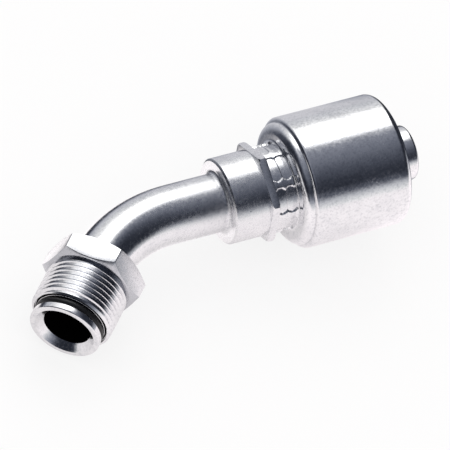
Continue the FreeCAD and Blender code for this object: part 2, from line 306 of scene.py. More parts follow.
class FinishSettings(bpy.types.PropertyGroup):
    """Colours of the finishes and of the studio."""
    zinc: FloatVectorProperty(
        name="Zinc", description="Colour of the zinc plate", default=(0.86, 0.86, 0.87),
        size=3, min=0, max=1, subtype="COLOR")
    # Bloom also colours the painted shade on end faces and in thread grooves
    bloom: FloatVectorProperty(
        name="Bloom", description="Colour of the plate's stains and pits", default=(0.10, 0.12, 0.17),
        size=3, min=0, max=1, subtype="COLOR")
    rubber: FloatVectorProperty(
        name="Rubber", description="Colour of the O-ring", default=(0.006, 0.006, 0.007),
        size=3, min=0, max=1, subtype="COLOR")
    floor: FloatVectorProperty(
        name="Floor", description="Colour of the floor", default=(0.93, 0.91, 0.91),
        size=3, min=0, max=1, subtype="COLOR")


# Frames of the two axes


def mount_line(name):
    mount = MOUNTS[name]
    return Vector(mount["pos_m"]), Vector(mount["axis"]).normalized()


def bend_plane_normal():
    hose_axis = mount_line("hose_tail")[1]
    nut_axis = mount_line("port_thread")[1]
    return nut_axis.cross(hose_axis).normalized()


def axis_frame(origin, axis):
    """A matrix that carries X onto an axis and Z onto the bend plane's normal."""
    normal = bend_plane_normal()
    side = normal.cross(axis)
    turn = Matrix((axis, side, normal)).transposed()
    return Matrix.Translation(origin) @ turn.to_4x4()


def hose_frame():
    return axis_frame(*mount_line("hose_tail"))


def bend_corner():
    """Where the hose axis and the nut's axis cross."""
    (a, u), (b, v) = mount_line("hose_tail"), mount_line("port_thread")
    normal = u.cross(v)
    along = (b - a).cross(v).dot(normal) / normal.length_squared
    return a + u * along


def bend_angle():
    hose_axis = mount_line("hose_tail")[1]
    nut_axis = mount_line("port_thread")[1]
    return hose_axis.angle(-nut_axis)


def bend_reach(tube):
    """From the axes' crossing to either end of the bend."""
    return tube.bend_radius * math.tan(bend_angle() / 2)


def nut_frame(tube):
    axis = mount_line("port_thread")[1]
    return axis_frame(bend_corner() + axis * bend_reach(tube), axis)


def bend_start_x(tube):
    """Start of the bend, as a place along the hose axis from the shell's mouth."""
    origin, axis = mount_line("hose_tail")
    return (bend_corner() - origin).dot(axis) + bend_reach(tube)


# Modelling steps


def select_only(piece):
    bpy.ops.object.select_all(action="DESELECT")
    bpy.context.view_layer.objects.active = piece
    piece.select_set(True)


def added_piece(name):
    """The object that was just added, under its name."""
    piece = bpy.context.active_object
    piece.name = name
    piece.data.name = name
    return piece


def weld(closer_than=WELD):
    """Makes one point of those that meet, in edit mode."""
    bpy.ops.mesh.select_all(action="SELECT")
    bpy.ops.mesh.remove_doubles(threshold=closer_than)


def begin_outline(name, start):
    """A new mesh in edit mode that holds one selected point."""
    bpy.ops.object.select_all(action="DESELECT")
    bpy.ops.mesh.primitive_plane_add(size=MM)
    piece = added_piece(name)
    bpy.ops.object.mode_set(mode="EDIT")
    bpy.ops.mesh.select_mode(type="VERT")
    bpy.ops.mesh.merge(type="CENTER")
    bpy.ops.transform.translate(value=(start[0], 0, start[1]))
    return piece


def extrude_by(step, times=1):
    """Extrudes what is selected by a step, once or several times."""
    for _ in range(times):
        bpy.ops.mesh.extrude_region_move(TRANSFORM_OT_translate={"value": step})


def trace_outline(outline):
    """Extrudes the selected point along an outline of (x, radius) points."""
    for (x0, r0), (x1, r1) in zip(outline, outline[1:]):
        extrude_by((x1 - x0, 0, r1 - r0))


def rounded(corners, arc_step=math.radians(12)):
    """An outline from (x, radius) corners, where a third number rounds the corner off."""
    outline = []
    for k, corner in enumerate(corners):
        here = Vector(corner[:2])
        if len(corner) < 3:
            outline.append(tuple(here))
            continue
        back = (Vector(corners[k - 1][:2]) - here).normalized()
        ahead = (Vector(corners[(k + 1) % len(corners)][:2]) - here).normalized()
        half = back.angle(ahead) / 2
        centre = here + (back + ahead).normalized() * corner[2] / math.sin(half)
        spoke = here + back * corner[2] / math.tan(half) - centre
        side = math.copysign(1, back.x * ahead.y - back.y * ahead.x)
        sweep = -side * (math.pi - 2 * half)
        steps = max(2, math.ceil(abs(sweep) / arc_step))
        for n in range(steps + 1):
            turned = spoke.copy()
            turned.rotate(Matrix.Rotation(sweep * n / steps, 2))
            outline.append(tuple(centre + turned))
    return outline


def divided(outline, longest, chosen=None):
    """The outline with its long runs divided into equal shorter ones: all of them, or those that
    a test of their two ends chooses."""
    points = []
    for start, end in zip(outline, outline[1:] + outline[:1]):
        (x0, r0), (x1, r1) = start, end
        parts = 1
        if chosen is None or chosen(start, end):
            parts = max(1, math.ceil(math.hypot(x1 - x0, r1 - r0) / longest))
        points += [(x0 + (x1 - x0) * n / parts, r0 + (r1 - r0) * n / parts) for n in range(parts)]
    return points


def turned_piece(name, outline, steps=STEPS):
    """Spins a closed outline round X into a solid, and leaves it in object mode."""
    piece = begin_outline(name, outline[0])
    trace_outline(outline + outline[:1])
    weld()
    bpy.ops.mesh.spin(steps=steps, angle=TURN, center=(0, 0, 0), axis=(1, 0, 0))
    weld(WELD * 10)
    bpy.ops.mesh.normals_make_consistent(inside=False)
    bpy.ops.object.mode_set(mode="OBJECT")
    return piece


def hexagon_piece(name, start, width, flats, turn):
    """A plain hexagonal prism along X, with a corner at an angle from the bend plane."""
    lying = Matrix.Rotation(turn, 3, "X") @ Matrix.Rotation(math.pi / 2, 3, "Y")
    bpy.ops.object.select_all(action="DESELECT")
    bpy.ops.mesh.primitive_cylinder_add(
        vertices=HEX, radius=flats / SQRT3, depth=width, location=(start + width / 2, 0, 0),
        rotation=lying.to_euler(),
    )
    piece = added_piece(name)
    bpy.ops.object.transform_apply(location=True, rotation=True, scale=True)
    return piece


def corner_cone(name, start, width, outside, face, slope, hole):
    """A double cone that a hexagon is cropped by, to turn its corners off at a slope from its
    end faces. Its hole keeps clear of the axis."""
    drop = (outside - face) * math.tan(slope)
    outline = [
        (start, hole), (start, face), (start + drop, outside),
        (start + width - drop, outside), (start + width, face), (start + width, hole),
    ]
    return turned_piece(name, outline)


def combine(piece, tool, operation):
    """Joins, cuts or crops a piece with another, which is then removed."""
    modifier = piece.modifiers.new(operation.title(), "BOOLEAN")
    modifier.operation = operation
    modifier.solver = "EXACT"
    modifier.object = tool
    select_only(piece)
    bpy.ops.object.modifier_apply(modifier=modifier.name)
    bpy.data.objects.remove(tool)
    bpy.ops.object.mode_set(mode="EDIT")
    weld(WELD * 20)
    bpy.ops.object.mode_set(mode="OBJECT")


def soften_edges(piece, width, segments=2, above=math.radians(25)):
    """Bevels every edge sharper than an angle."""
    modifier = piece.modifiers.new("Edges", "BEVEL")
    modifier.width = width
    modifier.segments = segments
    modifier.limit_method = "ANGLE"
    modifier.angle_limit = above
    modifier.use_clamp_overlap = True
    select_only(piece)
    bpy.ops.object.modifier_apply(modifier=modifier.name)


def smooth_shading(piece, above=math.radians(28)):
    """Shades a piece smoothly, but for the edges sharper than an angle."""
    select_only(piece)
    bpy.ops.object.shade_smooth_by_angle(angle=above)


def place(piece, matrix, materials, node, body, slot):
    """Carries a finished piece onto its axis and gives it its finishes and its body."""
    smooth_shading(piece)
    piece.matrix_world = matrix
    bpy.ops.object.transform_apply(location=True, rotation=True, scale=True)
    slots = piece.data.materials
    while len(slots) < len(materials):
        slots.append(None)
    for k, material in enumerate(materials):
        slots[k] = material
    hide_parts(node)
    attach(piece, body)


def mesh_points(piece):
    points = np.empty(len(piece.data.vertices) * 3, np.float64)
    piece.data.vertices.foreach_get("co", points)
    return points.reshape(-1, 3)


def select_points(piece, chosen):
    """Goes into edit mode with only the chosen points selected."""
    select_only(piece)
    bpy.ops.object.mode_set(mode="EDIT")
    bpy.ops.mesh.select_mode(type="VERT")
    bpy.ops.mesh.select_all(action="DESELECT")
    bpy.ops.object.mode_set(mode="OBJECT")
    piece.data.vertices.foreach_set("select", chosen)
    bpy.ops.object.mode_set(mode="EDIT")


def press_points(piece, chosen, share, soft=0.0):
    """Draws the chosen points towards the axis, and those within a soft edge less and less."""
    select_points(piece, chosen)
    bpy.ops.transform.resize(
        value=(1, share, share), center_override=(0, 0, 0), orient_type="GLOBAL",
        use_proportional_edit=soft > 0, use_proportional_connected=True,
        proportional_size=max(soft, WELD), proportional_edit_falloff="SMOOTH")
    bpy.ops.object.mode_set(mode="OBJECT")


# Shapes of the pieces


def stem_stations(stem, shell):
    """Places along the hose axis, from the shell's mouth."""
    neck_front = -shell.length - shell.neck_length
    hex_front = neck_front - stem.hex_width
    return neck_front, hex_front, hex_front - stem.collar_length


def shell_teeth(shell, root):
    """Corners of the biting rings, from the mouth towards the back wall."""
    slope = (shell.tooth_foot - shell.tooth_crest) / 2
    crest = root - shell.tooth_height
    last = -shell.length + shell.back_wall + shell.plain_pocket
    corners = []
    x = -shell.mouth_chamfer - shell.mouth_round - shell.tooth_foot
    while x > last:
        corners += [
            (x + shell.tooth_foot, root), (x + shell.tooth_foot - slope, crest),
            (x + slope, crest), (x, root),
        ]
        x -= shell.tooth_pitch
    return corners


def shell_outline(shell, stem):
    outside = shell.diameter / 2
    root = outside - shell.wall
    bead = outside - shell.corner - shell.line_depth
    hole = stem.shank_diameter / 2 + CLEAR
    neck = shell.neck_diameter / 2
    neck_edge = 0.35 * MM
    pocket_corner = 0.4 * MM
    back = -shell.length
    inside = back + shell.back_wall
    line = back + shell.shoulder
    corners = [
        (back - shell.neck_length, hole),
        (back - shell.neck_length, neck, neck_edge),
        (back, neck, shell.neck_fillet),
        (back, bead, shell.shoulder),
        (line, bead),
        (line, outside, shell.corner),
        (0, outside, shell.mouth_round),
        (0, root + shell.mouth_chamfer, TURNED_EDGE),
        (-shell.mouth_chamfer, root),
        *shell_teeth(shell, root),
        (inside, root, pocket_corner),
        (inside, hole),
    ]
    return rounded(corners, math.radians(6))


def press_neck(piece, shell):
    """Presses the jaws' flats into the neck. Each flat has two lobes towards the ridges and a
    fine line across its middle."""
    waist, bulge = 0.66, 0.30    # shares of a ridge's width: kept between lobes, taken by one
    skin = 0.5 * MM              # how far below the neck's surface points still move
    soft_rim = 0.42 * MM         # how far beyond a flat its neighbours follow it
    score_reach = 0.12 * MM      # half of the score line's width
    points = mesh_points(piece)
    neck = shell.neck_diameter / 2
    front = -shell.length - shell.neck_length
    back = -shell.length - shell.print_gap
    x = points[:, 0]
    radius = np.hypot(points[:, 1], points[:, 2])
    angle = np.arctan2(points[:, 2], points[:, 1])
    spacing = TURN / shell.jaws
    from_ridge = np.abs((angle - shell.ridge_turn + spacing / 2) % spacing - spacing / 2)
    share = np.clip((x - front) / (back - front), 0, 1)
    lobe = 1 - (2 * ((share * 2) % 1) - 1) ** 2
    edge = shell.ridge_width * (waist - bulge * lobe)
    inside_flat = (radius > neck - skin) & (x < back + WELD) & (from_ridge > edge)
    for row in np.unique(np.round(x[inside_flat & (radius > neck + WELD)], 7)):
        in_row = inside_flat & (np.abs(x - row) < WELD)
        press_points(piece, in_row, neck / radius[in_row].mean())
    press_points(piece, inside_flat, 1 - shell.jaw_depth / neck, soft_rim)
    score = inside_flat & (np.abs(x - (front + back) / 2) < score_reach)
    press_points(piece, score, 1 - shell.score_depth / neck)


def shape_shell(shell, stem):
    """The shell, with short runs on the neck so that the prints in it are sharp."""
    def on_neck(start, end):
        beyond_wall = max(start[0], end[0]) < -shell.length + MM
        return beyond_wall and min(start[1], end[1]) > shell.neck_diameter / 2 - MM / 2

    outline = divided(shell_outline(shell, stem), longest=2.0 * MM)
    outline = divided(outline, longest=0.22 * MM, chosen=on_neck)
    piece = turned_piece("shell_plated", outline, SHELL_STEPS)
    press_neck(piece, shell)
    return piece


def tail_barbs(stem, shank_end):
    """Corners of the barbs, from the shank towards the tail's plain end."""
    tail = stem.tail_diameter / 2
    x = shank_end + stem.first_barb
    corners = [(x, tail)]
    while x + stem.barb_pitch <= stem.tail_projection - stem.tail_plain:
        corners += [(x, tail - stem.barb_depth), (x + stem.barb_pitch, tail)]
        x += stem.barb_pitch
    return corners


def shape_stem(stem, shell, tube):
    neck_front, hex_front, face = stem_stations(stem, shell)
    collar = stem.collar_diameter / 2
    shank = stem.shank_diameter / 2
    tail = stem.tail_diameter / 2
    bore = stem.tail_bore / 2
    socket = tube.diameter / 2 + BRAZE_FILM
    socket_end = face + stem.socket_depth
    tip = stem.tail_projection
    shank_end = -shell.length + shell.back_wall + stem.shank_past_wall
    collar_edge = 0.25 * MM
    corners = [
        (face, socket, TURNED_EDGE),
        (face, collar - stem.collar_chamfer, SHARP_EDGE),
        (face + stem.collar_chamfer, collar, collar_edge),
        (neck_front, collar),
        (neck_front, shank),
        (shank_end, shank),
        (shank_end, tail),
        *tail_barbs(stem, shank_end),
        (tip, tail, stem.tail_round),
        (tip, bore + stem.bore_chamfer, TURNED_EDGE),
        (tip - stem.bore_chamfer, bore),
        (socket_end, bore),
        (socket_end, socket),
    ]
    body = turned_piece("stem_plated", divided(rounded(corners), longest=2.5 * MM))
    flange = hexagon_piece("flange", hex_front, stem.hex_width, stem.hex_flats, stem.hex_turn)
    corner = stem.hex_flats / SQRT3
    cone = corner_cone(
        "flange_cone", hex_front, stem.hex_width, corner, corner - stem.hex_chamfer,
        stem.hex_slope, MM)
    combine(flange, cone, "INTERSECT")
    soften_edges(flange, width=0.18 * MM)
    # The flange is bored only after its edges are soft, because the bevel would open the hole
    seat = (shank + collar) / 2
    before, behind = hex_front - MM, neck_front + MM
    core = turned_piece(
        "flange_core", [(before, MM / 2), (before, seat), (behind, seat), (behind, MM / 2)])
    combine(flange, core, "DIFFERENCE")
    combine(body, flange, "UNION")
    return body


def shape_tube(tube, start, socket_end):
    """A ring drawn along the hose leg, spun round the bend and drawn into the nose."""
    leg_parts, bend_parts, nose_parts = 12, 72, 10
    bpy.ops.object.select_all(action="DESELECT")
    bpy.ops.mesh.primitive_circle_add(
        vertices=STEPS // 2, radius=tube.diameter / 2, location=(socket_end, 0, 0),
        rotation=(0, math.pi / 2, 0))
    piece = added_piece("tube_plated")
    bpy.ops.object.transform_apply(location=True, rotation=True, scale=True)
    bpy.ops.object.mode_set(mode="EDIT")
    bpy.ops.mesh.select_all(action="SELECT")
    extrude_by(((start - socket_end) / leg_parts, 0, 0), leg_parts)
    # The spin turns from the second axis to the first
    bpy.ops.mesh.spin(
        steps=bend_parts, angle=-bend_angle(), center=(start, -tube.bend_radius, 0), axis=(0, 0, 1))
    ahead = Matrix.Rotation(bend_angle(), 3, "Z") @ Vector((-1, 0, 0))
    extrude_by(ahead * tube.nose_leg / nose_parts, nose_parts)
    weld(WELD * 10)
    bpy.ops.mesh.normals_make_consistent(inside=False)
    bpy.ops.object.mode_set(mode="OBJECT")
    # Two empty slots, so that the inside of the wall can have the second, the bore's painted shade
    for _ in range(2):
        piece.data.materials.append(None)
    wall = piece.modifiers.new("Wall", "SOLIDIFY")
    wall.thickness = tube.wall
    wall.offset = -1
    wall.use_even_offset = True
    wall.material_offset = 1
    wall.material_offset_rim = 1
    bpy.ops.object.modifier_apply(modifier=wall.name)
    return piece


def shape_braze(tube, face):
    """A hollow fillet, a quarter turn from along the tube to up the collar's face."""
    arcs = 8
    outside = tube.diameter / 2
    length, height = tube.braze_length, tube.braze_height
    hollow = [
        (face - length * (1 - math.sin(a)), outside + height * (1 - math.cos(a)))
        for a in (math.pi / 2 * n / arcs for n in range(arcs + 1))
    ]
    outline = [(face, outside - CLEAR), (face - length, outside - CLEAR), *hollow]
    return turned_piece("braze_plated", outline)


def thread_groove(nut, start, end):
    """The groove that a threading tool leaves: a 60 degree section wound round the axis."""
    pitch = nut.thread_pitch
    crest = nut.thread_diameter / 2
    depth = 0.58 * pitch
    over = 0.06 * MM
    half = pitch * 7 / 16                # leaves a crest one eighth of the pitch wide
    mouth = half + over / SQRT3
    root = half - depth / SQRT3
    first = start + pitch * ((math.pi / 2 - nut.thread_turn) / TURN % 1)
    section = [
        (first - mouth, crest + over), (first - root, crest - depth),
        (first + root, crest - depth), (first + mouth, crest + over),
    ]
    tool = begin_outline("thread_tool", section[0])
    trace_outline(section + section[:1])
    weld()
    bpy.ops.object.mode_set(mode="OBJECT")
    winding = tool.modifiers.new("Winding", "SCREW")
    winding.axis = "X"
    winding.angle = TURN
    winding.screw_offset = pitch
    winding.iterations = math.ceil((end - first) / pitch) + 1
    winding.steps = 128
    winding.render_steps = winding.steps
    bpy.ops.object.modifier_apply(modifier=winding.name)
    bpy.ops.object.mode_set(mode="EDIT")
    weld()
    bpy.ops.mesh.fill_holes(sides=len(section))
    bpy.ops.mesh.select_all(action="SELECT")
    bpy.ops.mesh.normals_make_consistent(inside=False)
    bpy.ops.object.mode_set(mode="OBJECT")
    return tool


def nut_stations(nut):
    """Places along the nut's axis, from the end of the bend."""
    back = -nut.overhang
    face = back + nut.hex_width
    thread_start = face + nut.relief_width
    return back, face, thread_start, thread_start + nut.thread_length


def shape_nut(nut):
    back, face, thread_start, front = nut_stations(nut)
    relief = nut.relief_diameter / 2
    thread = nut.thread_diameter / 2
    inner = nut.sleeve_hole / 2
    hole = nut.tube_hole / 2
    entry = 0.4 * MM
    lip = 0.35 * MM
    body = hexagon_piece("nut_plated", back, nut.hex_width, nut.hex_flats, nut.hex_turn)
    cone = corner_cone(
        "nut_cone", back, nut.hex_width, nut.hex_flats / SQRT3 + MM, nut.face_diameter / 2,
        nut.hex_slope, hole - MM)
    combine(body, cone, "INTERSECT")
    soften_edges(body, width=0.2 * MM)
    middle = (back + face) / 2
    lead = thread - relief
    outline = [
        (middle, hole - MM), (middle, relief), (thread_start, relief), (thread_start + lead, thread),
        (front - nut.thread_chamfer, thread), (front, thread - nut.thread_chamfer), (front, hole - MM),
    ]
    shank = turned_piece("shank", outline)
    combine(shank, thread_groove(nut, thread_start, front), "DIFFERENCE")
    combine(body, shank, "UNION")
    tool_outline = [
        (back - MM, MM / 10), (back - MM, hole + entry + MM), (back + entry, hole),
        (nut.shoulder_at, hole), (nut.shoulder_at, inner), (front - lip, inner),
        (front, inner + lip), (front + MM, inner + lip + MM), (front + MM, MM / 10),
    ]
    tool = turned_piece("nut_bore", tool_outline)
    combine(body, tool, "DIFFERENCE")
    return body


def nose_stations(nose, nut, tube):
    """Places along the nut's axis, from the end of the bend."""
    front = nut_stations(nut)[-1] + nose.projection
    flange_back = front - nose.flange_width
    return front, flange_back, flange_back - nose.groove_width, tube.nose_leg - nose.socket_depth


def ring_centre(nose):
    return nose.diameter / 2 + CLEAR - nose.ring_section / 2


def shape_nose(nose, nut, tube):
    front, flange_back, groove_back, back = nose_stations(nose, nut, tube)
    outside = nose.diameter / 2
    sleeve = nose.sleeve_diameter / 2
    bore = nose.bore / 2
    cone = nose.cone_diameter / 2
    depth = (cone - bore) / math.tan(nose.cone_angle)
    socket = tube.diameter / 2 + BRAZE_FILM
    floor = ring_centre(nose) - nose.ring_section / 2 - CLEAR
    groove_corner = 0.2 * MM
    rim_back, rim_front = 0.35 * MM, 0.45 * MM
    sleeve_edge, cone_foot = 0.3 * MM, 0.3 * MM
    corners = [
        (back, socket),
        (back, sleeve, sleeve_edge),
        (groove_back, sleeve, TURNED_EDGE),
        (groove_back, floor, groove_corner),
        (flange_back, floor, groove_corner),
        (flange_back, outside, rim_back),
        (front, outside, rim_front),
        (front, cone, SHARP_EDGE),
        (front - depth, bore, cone_foot),
        (tube.nose_leg, bore),
        (tube.nose_leg, socket),
    ]
    outline = divided(rounded(corners, math.radians(10)), longest=0.8 * MM)
    piece = turned_piece("nose_plated", outline)
    # Faces in the bore take the second finish, the bore's painted shade
    for face in piece.data.polygons:
        face.material_index = int(math.hypot(face.center.y, face.center.z) < bore + CLEAR)
    return piece


def shape_ring(nose, nut, tube):
    sides = 40
    flange_back = nose_stations(nose, nut, tube)[1]
    radius = nose.ring_section / 2
    centre = (flange_back - 2 * CLEAR - radius, ring_centre(nose))
    outline = [
        (centre[0] + radius * math.cos(a), centre[1] + radius * math.sin(a))
        for a in (TURN * n / sides for n in range(sides))
    ]
    return turned_piece("ring_rubber", outline)


# Finishes


def new_material(name):
    material = bpy.data.materials.new(name)
    material.use_nodes = True
    nodes = material.node_tree.nodes
    return material, nodes, material.node_tree.links, nodes["Principled BSDF"]


def axis_coordinates(nodes, links, matrix, scale=(1, 1, 1)):
    """Object coordinates turned onto a piece's own axis, with X along it."""
    where = nodes.new("ShaderNodeTexCoord")
    mapping = nodes.new("ShaderNodeMapping")
    mapping.vector_type = "POINT"
    inverse = matrix.inverted()
    mapping.inputs["Rotation"].default_value = inverse.to_euler()
    mapping.inputs["Location"].default_value = inverse.to_translation()
    links.new(where.outputs["Object"], mapping.inputs["Vector"])
    stretch = nodes.new("ShaderNodeVectorMath")
    stretch.operation = "MULTIPLY"
    stretch.inputs[1].default_value = scale
    links.new(mapping.outputs["Vector"], stretch.inputs[0])
    return stretch.outputs["Vector"]


def noise(nodes, links, vector, scale, detail=3.0, roughness=0.55):
    """A cloudy pattern, so many times to a metre."""
    texture = nodes.new("ShaderNodeTexNoise")
    texture.inputs["Scale"].default_value = scale
    texture.inputs["Detail"].default_value = detail
    texture.inputs["Roughness"].default_value = roughness
    links.new(vector, texture.inputs["Vector"])
    return texture.outputs["Fac"]


def ranged(nodes, links, value, low, high, from_low=0.3, from_high=0.7):
    """A value carried from one range to another, and kept inside it."""
    remap = nodes.new("ShaderNodeMapRange")
    remap.inputs["From Min"].default_value = from_low
    remap.inputs["From Max"].default_value = from_high
    remap.inputs["To Min"].default_value = low
    remap.inputs["To Max"].default_value = high
    links.new(value, remap.inputs["Value"])
    return remap.outputs["Result"]


def maths(nodes, links, operation, *values):
    node = nodes.new("ShaderNodeMath")
    node.operation = operation
    for socket, value in zip(node.inputs, values):
        if isinstance(value, (int, float)):
            socket.default_value = value
        else:
            links.new(value, socket)
    return node.outputs["Value"]


def mixed(nodes, links, share, first, second):
    """A mix of two colours, each from a socket or plain."""
    mix = nodes.new("ShaderNodeMix")
    mix.data_type = "RGBA"
    links.new(share, mix.inputs["Factor"])
    for name, colour in (("A", first), ("B", second)):
        socket = next(i for i in mix.inputs if i.name == name and i.type == "RGBA")
        if isinstance(colour, tuple):
            socket.default_value = colour
        else:
            links.new(colour, socket)
    return next(o for o in mix.outputs if o.type == "RGBA")


def bumped(nodes, links, height, distance, before=None):
    """A bump of a height in metres, on top of an earlier one."""
    bump = nodes.new("ShaderNodeBump")
    bump.inputs["Distance"].default_value = distance
    links.new(height, bump.inputs["Height"])
    if before:
        links.new(before, bump.inputs["Normal"])
    return bump.outputs["Normal"]


# Patterns of the zinc plate, as so many to a metre
STREAKS = 1300
SPECKS = 1150
PATCHES = 190
PIT_CELLS = 260
STREAK_WIDTH = 0.04          # width of a streak as a share of its length round the axis
# How much of the stains' colour each of them takes on; on the end faces and in the grooves that colour
# is painted shade
SPECK_SHARE = 0.26
PATCH_SHARE = 0.10
PIT_SHARE = 0.75
# The next two shares are painted shade: on end faces that look along the axis, and in thread grooves
FACE_SHADE_SHARE = 0.42
GROOVE_SHADE_SHARE = 0.7
EMPTY_CELLS = 0.86           # share of the cells that have no pit
SPECK_ROUGHNESS = 0.20
STREAK_HEIGHT = 0.012 * MM
SPECK_HEIGHT = 0.020 * MM
PATCH_HEIGHT = 0.05 * MM
GROOVE_SHADE_FADE = 0.12 * MM        # over which the painted shade in a groove ends
# Painted shade inside the bores: near black, without sheen, with a faint grain
BORE_SHADE_GRAINS = 800
BORE_SHADE_BLACK = (0.0004, 0.0004, 0.0004, 1)
BORE_SHADE_GREY = (0.0014, 0.0013, 0.0015, 1)
RUBBER_GRAINS = 900
RUBBER_HEIGHT = 0.003 * MM


def between(nodes, links, value, start, end):
    """1 where a value lies between two others, and else 0."""
    past = maths(nodes, links, "GREATER_THAN", value, start)
    short = maths(nodes, links, "LESS_THAN", value, end)
    return maths(nodes, links, "MULTIPLY", past, short)


def plate_pits(nodes, links, place):
    """Small round pits, in a few cells of a pattern."""
    cells = nodes.new("ShaderNodeTexVoronoi")
    cells.inputs["Scale"].default_value = PIT_CELLS
    links.new(place, cells.inputs["Vector"])
    chance = nodes.new("ShaderNodeSeparateColor")
    links.new(cells.outputs["Color"], chance.inputs["Color"])
    rare = maths(nodes, links, "GREATER_THAN", chance.outputs["Red"], EMPTY_CELLS)
    pit = ranged(nodes, links, cells.outputs["Distance"], PIT_SHARE, 0.0, from_low=0.03, from_high=0.10)
    return maths(nodes, links, "MULTIPLY", rare, pit)


def face_painted_shade(nodes, links, matrix, along, start, end):
    """Painted shade on the faces that look along the axis, between two places on it."""
    where = nodes.new("ShaderNodeTexCoord")
    facing = nodes.new("ShaderNodeVectorMath")
    facing.operation = "DOT_PRODUCT"
    facing.inputs[1].default_value = matrix.col[0].to_3d()
    links.new(where.outputs["Normal"], facing.inputs[0])
    face_darkening = ranged(
        nodes, links, facing.outputs["Value"], 0.0, FACE_SHADE_SHARE, from_low=0.25, from_high=0.45)
    return maths(nodes, links, "MULTIPLY", face_darkening, between(nodes, links, along, start, end))


def groove_painted_shade(nodes, links, matrix, along, start, end, radius):
    """Painted shade in grooves round the axis, out to a radius and between two places on it."""
    out = nodes.new("ShaderNodeVectorMath")
    out.operation = "LENGTH"
    links.new(axis_coordinates(nodes, links, matrix, (0, 1, 1)), out.inputs[0])
    groove_darkening = ranged(nodes, links, out.outputs["Value"], GROOVE_SHADE_SHARE, 0.0, radius - GROOVE_SHADE_FADE, radius)
    return maths(nodes, links, "MULTIPLY", groove_darkening, between(nodes, links, along, start, end))


def turned_zinc(name, finish, matrix, roughness=(0.06, 0.15), rings=1.0, mottle=1.0, dull=None,
                shaded_faces=None, grooves=None):
    """Bright zinc over turned steel: fine rings round the axis, mottled stains and a few pits.
    A dull stretch is (where it starts, where it is full, its added roughness) along the axis. A
    shaded stretch is (where it starts, where it ends), and its faces that look along the axis get
    painted shade. Grooves are (where they start, where they end, how far out their painted shade
    reaches)."""
    material, nodes, links, surface = new_material(name)
    surface.inputs["Metallic"].default_value = 1.0
    plain = axis_coordinates(nodes, links, matrix)
    ringed = axis_coordinates(nodes, links, matrix, (1, STREAK_WIDTH, STREAK_WIDTH))
    streaks = noise(nodes, links, ringed, STREAKS, detail=4.0, roughness=0.7)
    specks = noise(nodes, links, plain, SPECKS, detail=4.0, roughness=0.65)
    patches = noise(nodes, links, plain, PATCHES, detail=5.0, roughness=0.65)
    split = nodes.new("ShaderNodeSeparateXYZ")
    links.new(plain, split.inputs["Vector"])
    along = split.outputs["X"]

    stain = ranged(nodes, links, specks, SPECK_SHARE * mottle, 0.0, from_low=0.36, from_high=0.52)
    worn = ranged(nodes, links, patches, PATCH_SHARE, 0.0, from_low=0.36, from_high=0.58)
    dark = maths(nodes, links, "ADD", stain, worn)
    dark = maths(nodes, links, "MAXIMUM", dark, plate_pits(nodes, links, plain))
    if shaded_faces:
        dark = maths(nodes, links, "MAXIMUM", dark, face_painted_shade(nodes, links, matrix, along, *shaded_faces))
    if grooves:
        dark = maths(nodes, links, "MAXIMUM", dark, groove_painted_shade(nodes, links, matrix, along, *grooves))
    metal = mixed(nodes, links, dark, (*finish.zinc, 1), (*finish.bloom, 1))
    links.new(metal, surface.inputs["Base Color"])

    rough = ranged(nodes, links, patches, *roughness)
    rub = ranged(nodes, links, specks, 0.0, SPECK_ROUGHNESS * mottle, from_low=0.46, from_high=0.68)
    rough = maths(nodes, links, "ADD", rough, rub)
    if dull:
        start, full, added = dull
        rough = maths(nodes, links, "ADD", rough, ranged(nodes, links, along, 0.0, added, start, full))
    links.new(rough, surface.inputs["Roughness"])

    normal = bumped(nodes, links, streaks, STREAK_HEIGHT * rings)
    normal = bumped(nodes, links, specks, SPECK_HEIGHT * mottle, normal)
    normal = bumped(nodes, links, patches, PATCH_HEIGHT * mottle, normal)
    links.new(normal, surface.inputs["Normal"])
    return material


def painted_shade_bore(name, matrix):
    """The unplated inside of a bore, painted near black and without sheen as painted shade."""
    material, nodes, links, surface = new_material(name)
    plain = axis_coordinates(nodes, links, matrix)
    grain = noise(nodes, links, plain, BORE_SHADE_GRAINS)
    links.new(mixed(nodes, links, grain, BORE_SHADE_BLACK, BORE_SHADE_GREY), surface.inputs["Base Color"])
    surface.inputs["Specular IOR Level"].default_value = 0.0
    links.new(ranged(nodes, links, grain, 0.8, 1.0), surface.inputs["Roughness"])
    return material


def moulded_rubber(name, finish, matrix):
    """Black rubber with the faint grain of its mould."""
    material, nodes, links, surface = new_material(name)
    surface.inputs["Base Color"].default_value = (*finish.rubber, 1)
    plain = axis_coordinates(nodes, links, matrix)
    grain = noise(nodes, links, plain, RUBBER_GRAINS)
    links.new(ranged(nodes, links, grain, 0.32, 0.46), surface.inputs["Roughness"])
    links.new(bumped(nodes, links, grain, RUBBER_HEIGHT), surface.inputs["Normal"])
    return material


# Operators


class FITTING_OT_crimp_shell(bpy.types.Operator):
    """Models the crimp shell with its staked neck"""
    bl_idname = "fitting.crimp_shell"
    bl_label = "Crimp shell"
    bl_options = {"REGISTER", "UNDO"}

    def execute(self, context):
        scene = context.scene
        shell = scene.fitting_shell
        piece = shape_shell(shell, scene.fitting_stem)
        material = turned_zinc(
            "shell_zinc", scene.fitting_finish, hose_frame(), mottle=0.75,
            dull=(-shell.length, -shell.length - MM, 0.08))
        place(piece, hose_frame(), [material], "crimp_shell", "fitting", "plated_steel")
        return {"FINISHED"}


class FITTING_OT_hose_stem(bpy.types.Operator):
    """Models the stem: collar, thin hexagon and hose tail"""
    bl_idname = "fitting.hose_stem"
    bl_label = "Hose stem"
    bl_options = {"REGISTER", "UNDO"}

    def execute(self, context):
        scene = context.scene
        stem = scene.fitting_stem
        piece = shape_stem(stem, scene.fitting_shell, scene.fitting_tube)
        face = stem_stations(stem, scene.fitting_shell)[2]
        material = turned_zinc(
            "stem_zinc", scene.fitting_finish, hose_frame(), roughness=(0.09, 0.20), rings=1.4,
            mottle=0.6, dull=(-30 * MM, face, 0.10))
        place(piece, hose_frame(), [material], "hose_stem", "fitting", "plated_steel")
        return {"FINISHED"}


